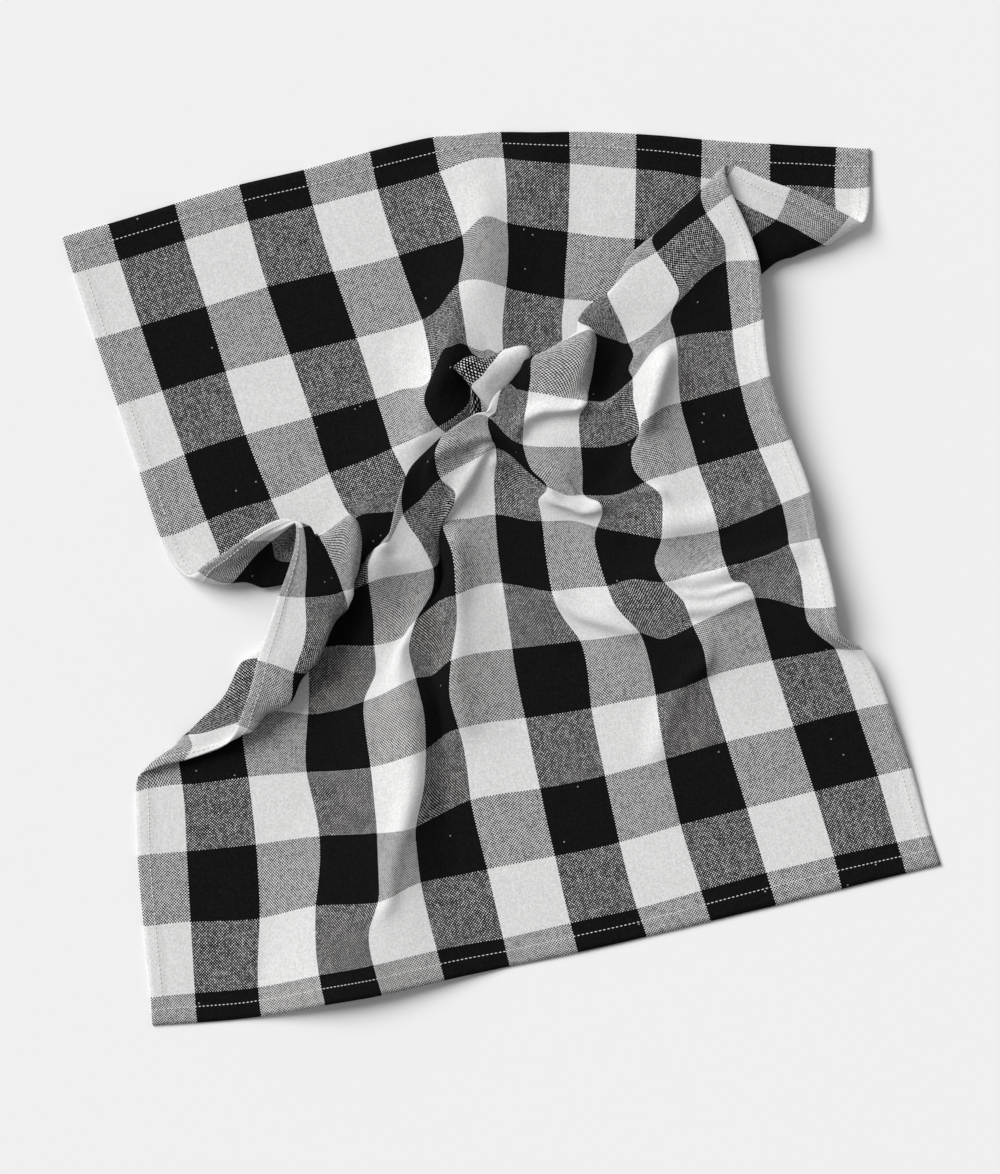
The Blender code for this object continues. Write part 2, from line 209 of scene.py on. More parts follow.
# each row: (across the cloth, stations)
# each station: (down the cloth, x, y, lift of the underside), all in millimetres
SECTIONS = (
    # left hem edge: flat, curls over, crest, ribbon, flap, flat
    (0, (
        (0, -268, 208, 0), (148, -221, 65, 0), (210, -199, 7, 4), (222, -190, 1, 10),
        (236, -182, 6, 18), (256, -170, 14, 23), (296, -138, 34, 26), (312, -125, 35, 29),
        (330, -125, 18, 27), (358, -135, -11, 22), (400, -148, -50, 18), (441, -160, -88, 14),
        (455, -165, -98, 11), (468, -174, -104, 8), (483, -193, -111, 6), (505, -214, -117, 5),
        (515, -221, -121, 3), (525, -223, -130, 0), (567, -222, -169, 0), (651, -214, -256, 0),
        (670, -213, -273, 0),
    )),
    # inner edge of the left hem, through the same folds
    (14, (
        (222, -178, -3, 8), (236, -174, 1, 15), (256, -164, 9, 20), (296, -133, 30, 26),
        (312, -123, 33, 31), (400, -137, -53, 19), (430, -147, -82, 15), (441, -150, -92, 12),
        (452, -160, -95, 8), (483, -188, -102, 6), (505, -206, -107, 4), (515, -211, -113, 1),
        (525, -209, -127, 0),
    )),
    # first colour line, through the same folds
    (29, (
        (148, -194, 76, 0), (190, -180, 35, 0), (212, -172, 14, 0), (226, -167, -3, 4),
        (236, -163, -2, 12), (253, -152, 11, 14), (274, -140, 22, 18), (296, -128, 31, 27),
        (316, -120, 31, 31), (330, -118, 16, 28), (358, -119, -12, 22), (385, -120, -40, 19),
        (400, -126, -57, 17), (418, -129, -76, 13), (432, -143, -82, 9), (450, -160, -88, 7),
        (475, -184, -95, 6), (490, -195, -97, 4), (500, -198, -104, 1), (512, -197, -113, 0),
        (609, -190, -209, 0),
    )),
    # middle of the first dark band
    (49, (
        (222, -150, 12, 0), (236, -146, -3, 3), (243, -146, -6, 5), (258, -145, 2, 7),
        (280, -134, 14, 9), (300, -123, 26, 17), (318, -115, 30, 30), (340, -109, 8, 26),
        (358, -107, -11, 22), (380, -105, -33, 19), (396, -113, -52, 15), (405, -121, -57, 11),
        (430, -135, -67, 8), (460, -167, -77, 6), (476, -181, -84, 4), (484, -184, -89, 1),
        (495, -182, -97, 0),
    )),
    # second colour line: under the ribbon, then the lower layer
    (70, (
        (64, -181, 166, 0), (148, -157, 88, 0), (190, -141, 48, 0), (238, -124, 4, 1),
        (248, -122, -3, 5), (262, -122, 3, 6), (282, -118, 14, 11), (305, -114, 25, 22),
        (322, -109, 22, 29), (335, -103, 10, 27), (358, -96, -8, 22), (369, -94, -19, 17),
        (378, -101, -24, 12), (400, -118, -33, 9), (430, -136, -49, 7), (453, -159, -52, 4),
        (463, -162, -62, 0), (483, -160, -82, 0), (525, -155, -121, 0), (609, -148, -207, 0),
        (651, -149, -250, 0),
    )),
    # middle of the second pale band: the round top of the ribbon
    (90, (
        (232, -108, 16, 1), (255, -106, 0, 3), (270, -106, 4, 10), (290, -104, 14, 16),
        (306, -98, 26, 22), (320, -93, 37, 27), (335, -92, 25, 29), (356, -90, -4, 23),
        (366, -91, -12, 17), (376, -98, -15, 12), (400, -116, -22, 8), (432, -132, -37, 5),
        (448, -142, -42, 1), (470, -138, -66, 0),
    )),
    # third colour line: into the hollow and back under the ribbon
    (111, (
        (0, -160, 240, 0), (64, -143, 178, 0), (148, -116, 99, 0), (190, -105, 64, 0),
        (215, -95, 42, 1), (232, -90, 36, 2), (255, -86, 22, 2), (273, -87, 8, 1), (285, -92, 1, 3),
        (300, -93, 15, 9), (316, -87, 30, 19), (328, -85, 21, 23), (345, -87, 5, 19),
        (358, -92, -5, 12), (380, -110, -11, 8), (398, -120, -14, 5), (412, -121, -22, 1),
        (441, -117, -42, 0), (483, -118, -83, 0), (525, -119, -118, 0), (567, -111, -157, 1),
        (609, -113, -199, 4), (670, -107, -260, 9),
    )),
    # middle of the third dark band
    (131, (
        (232, -74, 40, 2), (255, -70, 28, 1), (275, -70, 14, 1), (290, -74, 6, 4), (318, -82, 11, 5),
        (345, -87, 5, 4), (365, -93, -3, 3), (385, -99, -9, 2), (400, -102, -13, 1),
        (420, -102, -22, 0), (441, -98, -40, 0),
    )),
    # fourth colour line: the bright ridge above the hollow
    (151, (
        (0, -121, 249, 0), (148, -77, 110, 0), (190, -67, 79, 5), (208, -59, 63, 4), (235, -54, 42, 2),
        (256, -52, 26, 3), (268, -54, 20, 8), (300, -58, 26, 12), (335, -68, 26, 15),
        (368, -77, 17, 19), (387, -81, 8, 19), (400, -81, -3, 15), (420, -79, -20, 7),
        (441, -78, -40, 3), (460, -77, -58, 2), (483, -84, -75, 2), (525, -80, -115, 4),
        (567, -76, -155, 4), (609, -75, -197, 6), (630, -81, -216, 8), (670, -73, -254, 9),
    )),
    # middle of the fourth pale band
    (171, (
        (106, -69, 152, 0), (148, -59, 116, 2), (178, -52, 92, 6), (192, -50, 85, 9), (206, -45, 76, 5),
        (230, -40, 60, 2), (250, -40, 46, 2), (280, -50, 38, 7), (300, -57, 40, 11), (330, -64, 36, 15),
        (355, -68, 24, 17), (375, -66, 14, 15), (400, -62, 2, 11), (420, -58, -12, 6),
        (441, -60, -35, 4),
    )),
    # fifth colour line: left side of the dark lobe
    (192, (
        (0, -81, 260, 0), (106, -49, 158, 1), (128, -45, 140, 5), (148, -43, 121, 10),
        (170, -47, 106, 12), (190, -39, 92, 9), (202, -31, 86, 5), (225, -24, 70, 1), (240, -24, 61, 2),
        (250, -29, 57, 4), (290, -47, 62, 10), (325, -58, 60, 16), (342, -61, 50, 17),
        (358, -60, 38, 15), (380, -50, 22, 12), (400, -42, 6, 9), (420, -43, -9, 6), (441, -52, -25, 6),
        (460, -57, -42, 6), (483, -53, -61, 6), (505, -48, -82, 8), (525, -47, -104, 9),
        (545, -48, -126, 10), (567, -53, -151, 10), (590, -52, -168, 8), (609, -50, -185, 5),
        (651, -40, -227, 5),
    )),
    # top of the dark lobe
    (205, (
        (128, -36, 150, 6), (148, -35, 139, 12), (170, -37, 118, 18), (190, -29, 98, 11),
        (203, -24, 93, 6),
    )),
    # middle of the fifth dark band
    (213, (
        (64, -44, 203, 1), (106, -38, 165, 3), (148, -31, 141, 11), (165, -31, 126, 15),
        (178, -26, 115, 9), (190, -20, 107, 5), (203, -17, 103, 3), (222, -20, 93, 2),
        (285, -38, 68, 7), (305, -46, 72, 10), (322, -52, 70, 15), (342, -50, 58, 14),
        (358, -48, 49, 12), (380, -42, 32, 9), (400, -38, 15, 5), (420, -36, 0, 3), (441, -39, -14, 4),
        (462, -40, -36, 4), (483, -42, -59, 2), (505, -38, -78, 1), (525, -36, -96, 0),
        (567, -34, -142, 0), (609, -29, -181, 0),
    )),
    # dark band, tucked under the tongue
    (217, (
        (190, -19, 111, 4), (205, -13, 113, 4), (222, -11, 106, 3),
    )),
    # left tip of the tongue
    (222, (
        (160, -24, 136, 9), (172, -22, 129, 8), (185, -19, 124, 5), (198, -14, 124, 5),
        (206, -17, 130, 11), (213, -22, 132, 15), (222, -28, 126, 13), (229, -19, 121, 9),
        (240, -13, 108, 3), (250, -14, 92, 2),
    )),
    # sixth colour line: over the tongue
    (233, (
        (0, -42, 269, 0), (22, -38, 249, 1), (64, -24, 209, 5), (85, -23, 195, 6), (106, -26, 180, 6),
        (148, -21, 142, 5), (160, -17, 136, 3), (172, -10, 132, 3), (184, -3, 134, 6),
        (195, 1, 138, 12), (205, -6, 130, 17), (214, -12, 122, 17), (222, -18, 116, 14),
        (229, -14, 112, 8), (238, -12, 103, 3), (266, -16, 80, 2), (290, -26, 80, 6),
        (330, -37, 84, 16), (345, -41, 73, 17), (358, -37, 60, 15), (378, -29, 52, 10),
        (400, -36, 33, 7), (420, -30, 17, 8), (441, -28, -9, 7), (483, -30, -50, 6), (505, -31, -72, 5),
        (525, -26, -91, 2), (567, -19, -135, 0), (609, -9, -177, 0), (651, 1, -220, 0),
        (670, 5, -237, 0),
    )),
    # sixth pale band: top of the tongue
    (242, (
        (148, -12, 139, 3), (160, -5, 133, 2), (170, 3, 133, 4), (191, 15, 141, 11), (200, 6, 131, 14),
        (211, -3, 120, 14), (222, -12, 110, 12), (230, -9, 105, 6), (245, -9, 95, 2),
    )),
    # right tip of the tongue
    (250, (
        (0, -24, 270, 0), (22, -18, 256, 2), (64, -12, 220, 7), (106, -13, 182, 8), (135, -12, 155, 5),
        (152, -8, 137, 2), (165, 0, 132, 3), (178, 8, 131, 5), (193, 17, 133, 9), (207, 4, 118, 10),
        (222, -6, 105, 9), (232, -6, 101, 4), (248, -7, 94, 1), (260, -9, 85, 3), (280, -11, 85, 4),
        (298, -13, 94, 8), (312, -16, 99, 10), (345, -24, 78, 11), (358, -21, 70, 8), (380, -18, 54, 6),
        (400, -20, 36, 5), (441, -15, -4, 4),
    )),
    # right side of the tongue
    (262, (
        (150, -4, 137, 2), (172, 4, 130, 3), (188, 10, 130, 6), (200, 4, 122, 5), (212, -1, 113, 3),
        (228, -4, 103, 1), (240, -4, 92, 1), (255, -3, 100, 5), (268, -3, 107, 8), (282, -6, 107, 10),
        (300, -9, 101, 10),
    )),
    # seventh colour line
    (273, (
        (22, 1, 257, 1), (64, 3, 217, 4), (130, 0, 152, 3), (160, 1, 129, 1), (185, 1, 115, 0),
        (205, 0, 104, 0), (217, 0, 97, 2), (235, 3, 108, 5), (255, 4, 120, 8), (274, 1, 117, 10),
        (305, -4, 101, 9), (316, -8, 98, 9), (340, -7, 86, 8), (358, -4, 79, 6), (380, -5, 60, 4),
        (441, 0, -2, 1), (483, 6, -43, 0), (525, 14, -85, 0), (567, 23, -128, 0), (609, 32, -169, 0),
    )),
    # middle of the seventh dark band
    (294, (
        (0, 20, 272, 0), (22, 20, 255, 3), (106, 20, 174, 0), (165, 20, 118, 0), (183, 19, 106, 2),
        (215, 14, 116, 5), (252, 12, 128, 8), (274, 8, 116, 10), (316, 2, 88, 9), (340, 8, 78, 6),
        (358, 11, 70, 3), (380, 12, 54, 2), (400, 10, 36, 3),
    )),
    # eighth colour line
    (314, (
        (22, 41, 254, 0), (106, 38, 171, 0), (137, 37, 141, 0), (155, 36, 124, 0), (170, 35, 114, 3),
        (200, 28, 124, 8), (235, 20, 134, 12), (255, 17, 131, 13), (274, 16, 114, 10), (295, 13, 96, 8),
        (340, 18, 66, 9), (358, 28, 56, 9), (378, 22, 48, 6), (441, 30, -7, 2), (483, 47, -38, 0),
        (525, 54, -79, 0), (651, 82, -202, 0), (670, 88, -219, 0),
    )),
    # middle of the eighth pale band
    (334, (
        (64, 60, 209, 0), (106, 50, 170, 0), (135, 48, 143, 0), (158, 48, 122, 1), (170, 48, 116, 4),
        (195, 46, 132, 10), (225, 46, 149, 14), (240, 50, 146, 18), (258, 46, 128, 17),
        (274, 38, 110, 12), (295, 30, 96, 8), (316, 28, 80, 9), (340, 36, 64, 9), (358, 40, 50, 8),
        (378, 44, 44, 8), (400, 42, 35, 4), (441, 46, -5, 2), (462, 52, -24, 3),
    )),
    # ninth colour line
    (355, (
        (0, 82, 271, 0), (90, 80, 182, 0), (118, 78, 158, 0), (134, 74, 148, 4), (160, 66, 156, 9),
        (198, 47, 156, 12), (215, 49, 154, 14), (232, 56, 149, 14), (250, 56, 134, 10),
        (274, 50, 108, 9), (295, 47, 96, 9), (358, 50, 50, 6), (375, 60, 43, 8), (400, 58, 31, 5),
        (420, 57, 20, 4), (441, 64, -4, 4), (460, 70, -18, 6), (483, 84, -33, 4), (525, 94, -71, 1),
        (609, 109, -150, 0),
    )),
    # middle of the ninth dark band: the dark hollow
    (375, (
        (35, 101, 236, 0), (90, 96, 182, 0), (112, 92, 164, 1), (126, 88, 156, 5), (155, 76, 166, 10),
        (190, 54, 166, 12), (205, 56, 160, 14), (232, 70, 145, 8), (250, 67, 128, 2), (265, 65, 113, 2),
        (276, 64, 106, 5), (288, 66, 100, 9), (300, 66, 92, 9), (316, 68, 81, 7), (340, 66, 62, 2),
        (358, 70, 50, 3), (378, 78, 44, 6), (420, 75, 12, 3), (441, 80, 0, 6), (460, 90, -15, 6),
        (483, 98, -37, 4),
    )),
    # tenth colour line
    (395, (
        (50, 120, 216, 0), (90, 116, 180, 0), (106, 112, 166, 3), (135, 98, 172, 9), (178, 69, 174, 11),
        (192, 64, 172, 14), (232, 77, 143, 9), (250, 80, 134, 10), (262, 77, 127, 8), (274, 80, 121, 7),
        (295, 80, 108, 9), (316, 84, 88, 9), (330, 79, 78, 9), (345, 80, 66, 9), (376, 97, 50, 9),
        (400, 97, 24, 7), (418, 93, 12, 6), (441, 98, -2, 8), (460, 110, -14, 8), (483, 116, -29, 6),
        (500, 122, -42, 7), (525, 125, -60, 4), (609, 149, -140, 0), (651, 161, -180, 0),
        (670, 167, -200, 0),
    )),
    # middle of the tenth pale band
    (416, (
        (64, 141, 202, 0), (88, 138, 178, 2), (98, 134, 174, 6), (130, 114, 186, 11),
        (175, 77, 194, 14), (190, 78, 188, 15), (250, 92, 142, 12), (274, 92, 138, 13),
        (300, 92, 120, 15), (316, 92, 101, 13), (340, 98, 82, 9), (358, 104, 63, 8), (380, 108, 45, 9),
        (420, 112, 12, 6), (441, 117, 2, 7), (460, 125, -8, 9),
    )),
    # eleventh colour line
    (436, (
        (0, 163, 265, 0), (22, 163, 241, 0), (64, 162, 201, 0), (78, 159, 186, 3), (90, 153, 184, 8),
        (110, 141, 195, 11), (140, 120, 212, 13), (176, 91, 206, 14), (215, 107, 174, 14),
        (232, 104, 164, 13), (250, 102, 156, 12), (274, 105, 146, 12), (316, 108, 107, 9),
        (358, 119, 68, 7), (380, 126, 48, 7), (400, 131, 29, 8), (441, 136, 7, 8), (455, 140, -2, 9),
        (470, 149, -4, 10), (483, 153, -12, 8), (525, 164, -50, 5), (567, 177, -90, 2),
        (651, 202, -170, 0), (670, 207, -190, 0),
    )),
    # middle of the eleventh dark band: the corner flap
    (457, (
        (55, 181, 208, 1), (66, 178, 196, 4), (76, 172, 196, 9), (95, 160, 204, 12),
        (172, 106, 220, 15), (190, 108, 210, 16), (232, 121, 182, 15),
    )),
    # twelfth colour line: inner edge of the corner flap
    (477, (
        (0, 204, 263, 0), (22, 203, 239, 1), (45, 203, 217, 2), (57, 199, 203, 5), (68, 193, 204, 10),
        (85, 182, 210, 13), (106, 167, 217, 15), (130, 148, 226, 16), (150, 132, 236, 16),
        (172, 121, 234, 18), (190, 124, 221, 18), (210, 134, 206, 17), (232, 136, 192, 15),
        (274, 140, 151, 13), (316, 145, 117, 12), (400, 170, 45, 11), (425, 174, 27, 11),
        (441, 175, 21, 11), (460, 181, 3, 12), (483, 184, -18, 12), (500, 188, -30, 11),
        (515, 200, -40, 9), (525, 203, -43, 7), (567, 216, -80, 3),
    )),
    # right hem edge: corner, flap, crest, raised side, flat
    (500, (
        (0, 225, 262, 1), (36, 224, 226, 4), (46, 221, 217, 8), (62, 213, 219, 12), (85, 195, 228, 15),
        (106, 176, 236, 17), (160, 136, 250, 20), (175, 136, 242, 23), (210, 147, 217, 20),
        (232, 156, 193, 18), (274, 159, 157, 18), (316, 163, 123, 18), (358, 176, 84, 16),
        (441, 193, 25, 16), (483, 203, -17, 17), (505, 207, -35, 15), (525, 219, -43, 12),
        (609, 250, -115, 2), (651, 262, -157, 0), (670, 268, -175, 0),
    )),
)
print("sections", len(SECTIONS), "stations", sum(len(rows) for _, rows in SECTIONS))

# %% [markdown]
# Between the stations the cloth takes the shape of a thin plate that bends as little as it
# can. That is what cotton does between the places where it is held, and one formula gives
# it: a thin-plate spline, solved once for x, y and lift together.

# %% Bend the sheet through its stations
def bending_kernel(squared_distance):
    """Thin-plate spline kernel."""
    return 0.5 * squared_distance * np.log(squared_distance + TINY)


def squared_distances(first, second):
    """Squared distance on the flat cloth between every point of two lists."""
    return ((first[:, None] - second[None]) ** 2).sum(axis=2)


class Drape:
    """The towel's shape: from a place on the flat cloth to a place in space."""

    def __init__(self, sections):
        table = np.array([
            (across, down, x, y, lift)
            for across, stations in sections
            for down, x, y, lift in stations
        ], dtype=float)
        self.flat = table[:, :2] / SPAN_UNIT
        count = len(self.flat)
        plane = np.hstack([np.ones((count, 1)), self.flat])
        system = np.zeros((count + 3, count + 3))
        system[:count, :count] = bending_kernel(squared_distances(self.flat, self.flat))
        system[:count, count:] = plane
        system[count:, :count] = plane.T
        target = np.zeros((count + 3, 3))
        target[:count] = table[:, 2:]
        self.weights = np.linalg.solve(system, target)

    def place(self, across, down):
        """Places of cloth points, in metres; across and down are arrays in metres."""
        points = np.column_stack([np.ravel(across), np.ravel(down)]) / (SPAN_UNIT * MILLIMETRE)
        count = len(self.flat)
        places = np.hstack([np.ones((len(points), 1)), points]) @ self.weights[count:]
        for start in range(0, len(points), POINTS_AT_ONCE):
            part = slice(start, start + POINTS_AT_ONCE)
            kernel = bending_kernel(squared_distances(points[part], self.flat))
            places[part] += kernel @ self.weights[:count]
        places *= MILLIMETRE
        places[:, 2] = np.maximum(places[:, 2] - FLATTEN_BELOW, 0.0)
        return places.reshape(np.shape(across) + (3,))


drape = Drape(SECTIONS)
print("spline held at", len(drape.flat), "places")

# %% [markdown]
# Between the big folds the cloth has smaller waves and puckers that run out from the pinch.
# Each is a soft ridge along a short path on the flat cloth, raised at right angles to the
# sheet. Cloth that lies quite flat is never dead flat either, so a slow uneven swell of a
# fraction of a millimetre goes over all of it.

# %% Creases
CREASES = (
    # height, half width, path as (across, down), all in millimetres
    # above the pale cell right of the pinch
    (5.5, 4.0, ((308, 306), (316, 293), (328, 284), (350, 281))),
    # brow over the pale cell below the pinch
    (3.0, 4.0, ((232, 344), (244, 340), (270, 340))),
    # diagonal through the pale cell below the pinch
    (3.8, 5.0, ((230, 388), (244, 372), (264, 356))),
    # beside the dark diagonal
    (2.5, 3.5, ((272, 368), (288, 364), (304, 362))),
    # short pucker right of the dark diagonal
    (1.5, 2.5, ((328, 340), (336, 344), (344, 354))),
    # bright roll under the dark diagonal
    (2.5, 4.0, ((316, 360), (326, 376), (340, 386), (354, 376))),
    # edge of the dark hollow
    (4.5, 4.5, ((354, 276), (372, 281), (388, 279))),
    # across the ninth dark band
    (2.5, 5.0, ((356, 370), (382, 360), (396, 372))),
    # first wave towards the right edge
    (3.5, 5.5, ((396, 392), (420, 392), (438, 392))),
    # second wave towards the right edge
    (3.0, 5.5, ((398, 436), (412, 446), (436, 446))),
    # small wave below it
    (1.5, 3.0, ((402, 456), (418, 466), (434, 468))),
    # third wave towards the right edge
    (2.5, 4.5, ((396, 468), (416, 480), (432, 482))),
    # wave in the eleventh dark band
    (4.0, 6.5, ((440, 440), (462, 442), (480, 444))),
    # slope of the big fold
    (6.0, 6.0, ((426, 292), (418, 306), (410, 316))),
    # left bank of the slanting trough
    (2.5, 5.5, ((280, 444), (294, 458), (304, 482))),
    # right bank of the slanting trough
    (3.0, 5.5, ((318, 446), (338, 464), (350, 480))),
    # knuckle below the waves
    (2.5, 4.5, ((394, 490), (398, 500), (394, 516))),
    # long bend below the knuckle
    (3.0, 6.0, ((392, 514), (374, 526), (360, 540), (352, 560))),
    # long ridge down the fourth bands
    (3.0, 7.0, ((182, 458), (178, 494), (180, 518), (182, 546), (180, 564), (166, 592), (162, 612))),
    # long ridge down the fifth colour line
    (3.0, 7.0, ((236, 418), (232, 444), (234, 478), (236, 500), (238, 520))),
)
SWELL = 0.00022               # how far the slow swell rises and falls
SWELL_LENGTH = 0.026          # distance over which it changes
SWELL_SEED = 4.0


def distance_to_path(across, down, path):
    """Shortest distance from each cloth point to a line through the path's points."""
    nearest = np.full(np.shape(across), np.inf)
    for (start_x, start_y), (end_x, end_y) in zip(path, path[1:]):
        run_x = end_x - start_x
        run_y = end_y - start_y
        share = ((across - start_x) * run_x + (down - start_y) * run_y) / (run_x ** 2 + run_y ** 2)
        share = np.clip(share, 0.0, 1.0)
        away = np.hypot(across - start_x - share * run_x, down - start_y - share * run_y)
        nearest = np.minimum(nearest, away)
    return nearest


def crease_height(across, down):
    """How far the creases and the swell raise the cloth, in metres."""
    raised = np.zeros(np.shape(across))
    for height, half_width, path in CREASES:
        away = distance_to_path(across / MILLIMETRE, down / MILLIMETRE, path)
        raised += height * MILLIMETRE * np.exp(-0.5 * (away / half_width) ** 2)
    swell = [
        noise.noise((x / SWELL_LENGTH, y / SWELL_LENGTH, SWELL_SEED))
        for x, y in zip(across.flat, down.flat)
    ]
    return raised + SWELL * (1.0 + np.array(swell).reshape(np.shape(across)))


def lay(across, down):
    """Places of cloth points with the creases on them, and the sheet's unit normals there."""
    step = MILLIMETRE
    bare = drape.place(across, down)
    to_side = drape.place(across + step, down) - drape.place(across - step, down)
    to_end = drape.place(across, down + step) - drape.place(across, down - step)
    normals = np.cross(to_end, to_side)
    normals /= np.linalg.norm(normals, axis=-1, keepdims=True)
    places = bare + normals * crease_height(across, down)[..., None]
    places[..., 2] = np.maximum(places[..., 2], 0.0)
    return places, normals


print(len(CREASES), "creases over", sum(len(path) for _, _, path in CREASES), "points")

# %% [markdown]
# The cloth is a closed sheet, two skins and a rim, so that its edges have thickness. Its
# mesh follows the threads, with the rows closer together in the folded middle. Along each
# hem, where the cloth is double, the sheet is thicker.

# %% The woven panel
CLOTH_THICKNESS = 0.0006
HEM_EXTRA = 0.0003            # half of what the turned layer adds at a hem
END_HEM = 0.0118              # width of the top and bottom hems
SIDE_HEM = 0.0090             # width of the left and right hems
HEM_SLOPE = 0.0022            # distance over which the thickness steps down inside a hem
COLUMNS = 186
ROW_ZONES = ((0.0, 0), (0.130, 40), (0.540, 186), (0.670, 38))   # (down to, rows)


def graded_rows():
    """Mesh rows down the cloth, closer together in the folded middle."""
    down = [0.0]
    for (start, _), (end, rows) in zip(ROW_ZONES, ROW_ZONES[1:]):
        down += [start + (end - start) * row / rows for row in range(1, rows + 1)]
    return np.array(down)


def sheet_normals(places):
    """Unit normals of the sheet, on the side that is up where the towel lies flat."""
    normals = np.cross(np.gradient(places, axis=0), np.gradient(places, axis=1))
    return normals / np.linalg.norm(normals, axis=2, keepdims=True)


def hem_share(across, down):
    """1 on the hems, 0 on the single cloth, with a short slope between."""
    from_side = np.minimum(across, CLOTH_WIDTH - across)
    from_end = np.minimum(down, CLOTH_LENGTH - down)
    inside = np.maximum(SIDE_HEM - from_side, END_HEM - from_end)
    return np.clip(inside / HEM_SLOPE + 0.5, 0.0, 1.0)


def sheet_faces(rows, columns):
    """Faces of the two skins and of the rim that closes them."""
    index = np.arange(rows * columns).reshape(rows, columns)
    ring = [index[:-1, :-1], index[1:, :-1], index[1:, 1:], index[:-1, 1:]]
    upper = np.stack([corner.ravel() for corner in ring], axis=1)
    lower = upper[:, ::-1] + rows * columns
    edge = np.concatenate([index[:, 0], index[-1, 1:], index[-2::-1, -1], index[0, -2:0:-1]])
    after = np.roll(edge, -1)
    rim = np.stack([edge, edge + rows * columns, after + rows * columns, after], axis=1)
    return np.concatenate([upper, lower, rim])


def face_outwards(mesh):
    """Turns every face of a closed mesh outwards and shades it smooth."""
    solid = bmesh.new()
    solid.from_mesh(mesh)
    bmesh.ops.recalc_face_normals(solid, faces=solid.faces)
    solid.to_mesh(mesh)
    solid.free()
    mesh.shade_smooth()


def make_panel():
    """The woven panel as a closed sheet that carries its flat place as an attribute."""
    across, down = np.meshgrid(np.linspace(0.0, CLOTH_WIDTH, COLUMNS + 1), graded_rows())
    middle, _ = lay(across, down)
    half = CLOTH_THICKNESS / 2 + HEM_EXTRA * hem_share(across, down)
    middle[..., 2] += half
    offset = sheet_normals(middle) * half[..., None]
    skins = np.concatenate([(middle + offset).reshape(-1, 3), (middle - offset).reshape(-1, 3)])
    skins[:, 2] = np.maximum(skins[:, 2], 0.0)
    mesh = bpy.data.meshes.new("woven_panel")
    mesh.from_pydata(skins.tolist(), [], sheet_faces(*across.shape).tolist())
    upper = np.column_stack([across.ravel(), down.ravel(), np.ones(across.size)])
    flat = np.concatenate([upper, upper * (1.0, 1.0, -1.0)])
    layer = mesh.attributes.new("flat_place", "FLOAT_VECTOR", "POINT")
    layer.data.foreach_set("vector", flat.astype(np.float32).ravel())
    face_outwards(mesh)
    panel = bpy.data.objects.new("woven_panel", mesh)
    bpy.context.scene.collection.objects.link(panel)
    return panel


woven_panel = make_panel()
print("panel faces", len(woven_panel.data.polygons))
print("panel size", [round(side, 4) for side in woven_panel.dimensions])

# %% [markdown]
# Where like crosses like the cloth is solid dark or pale, and where they differ the weave
# mixes them. Painting four greys would lose that, so the material works out each thread:
# which one lies on top, and what colour its yarn was dyed. Where the colours differ it also
# paints shade: pale threads and the gaps between threads are drawn darker, for the shadow
# of the dark threads.

# %% Check weave material
THREAD = 0.00086              # thread spacing, both ways
BAND_ACROSS = 0.0407          # width of a warp band
BAND_DOWN = 0.0419            # height of a weft band
FIRST_WARP_LINE = 0.0292      # dark warp starts here
FIRST_WEFT_LINE = 0.0224      # dark weft ends here
PALE = (0.80, 0.80, 0.795, 1.0)
# the pale yarn at its dullest random tone, and also the painted shade given to pale threads between
# dark ones
PALE_DULL_TONE_AND_SHADE = (0.62, 0.62, 0.615, 1.0)
DARK = (0.0045, 0.0045, 0.0048, 1.0)
DARK_FADED = (0.0095, 0.0095, 0.010, 1.0)
WARP_CORE = 0.50              # half of the share of its spacing that a warp on top covers
WEFT_CORE = 0.32              # the same for a weft, which shows as a small knot between warps
UNEVEN_CROSSING = 0.5         # how much the cover changes from one crossing to the next
UNEVEN_WARP = 1.0             # and along a warp thread, which is thick in places
UNEVEN_WEFT = 0.5
LINT_SHARE = 0.0006           # share of the crossings where a pale fibre clings
LINT_PALENESS = 0.5           # how far such a crossing turns pale
WARP_TONE = 0.4               # shares of the warp yarn, the weft yarn and the crossing in
WEFT_TONE = 0.2               # how a thread's tone varies
CROSSING_TONE = 0.4
PALE_FROM = 0.25              # a tone below this takes the darker pale colour fully
PALE_CONTRAST = 2.0
FADED_FROM = 0.45             # a tone above this begins to look faded
FADED_CONTRAST = 3.0
SUNK_SHADE = 0.15             # painted shade: how much darker a pale thread is drawn between dark ones, where their shadow falls on it
ALONG_THREAD = 60.0           # changes per metre along a thread
BETWEEN_THREADS = 1500.0      # changes per metre from one thread to the next
YARN_DETAIL = 2.0
WEAVE_RELIEF = 0.00012        # how far a thread stands up
WEAVE_BUMP = 0.5
CLOTH_ROUGHNESS = 0.93
CLOTH_SHINE = 0.08            # matt cotton has hardly any reflection


def thread_noise(cloth, across, down, along_warp):
    """Uneven yarn: noise drawn out along the thread."""
    if along_warp:
        stretch = (BETWEEN_THREADS, ALONG_THREAD)
    else:
        stretch = (ALONG_THREAD, BETWEEN_THREADS)
    sockets = {0: across * stretch[0], 1: down * stretch[1], 2: float(along_warp)}
    place = cloth.add("ShaderNodeCombineXYZ", None, sockets)
    sockets = {"Vector": place, "Scale": 1.0, "Detail": YARN_DETAIL}
    return cloth.add("ShaderNodeTexNoise", {"noise_dimensions": "3D"}, sockets)


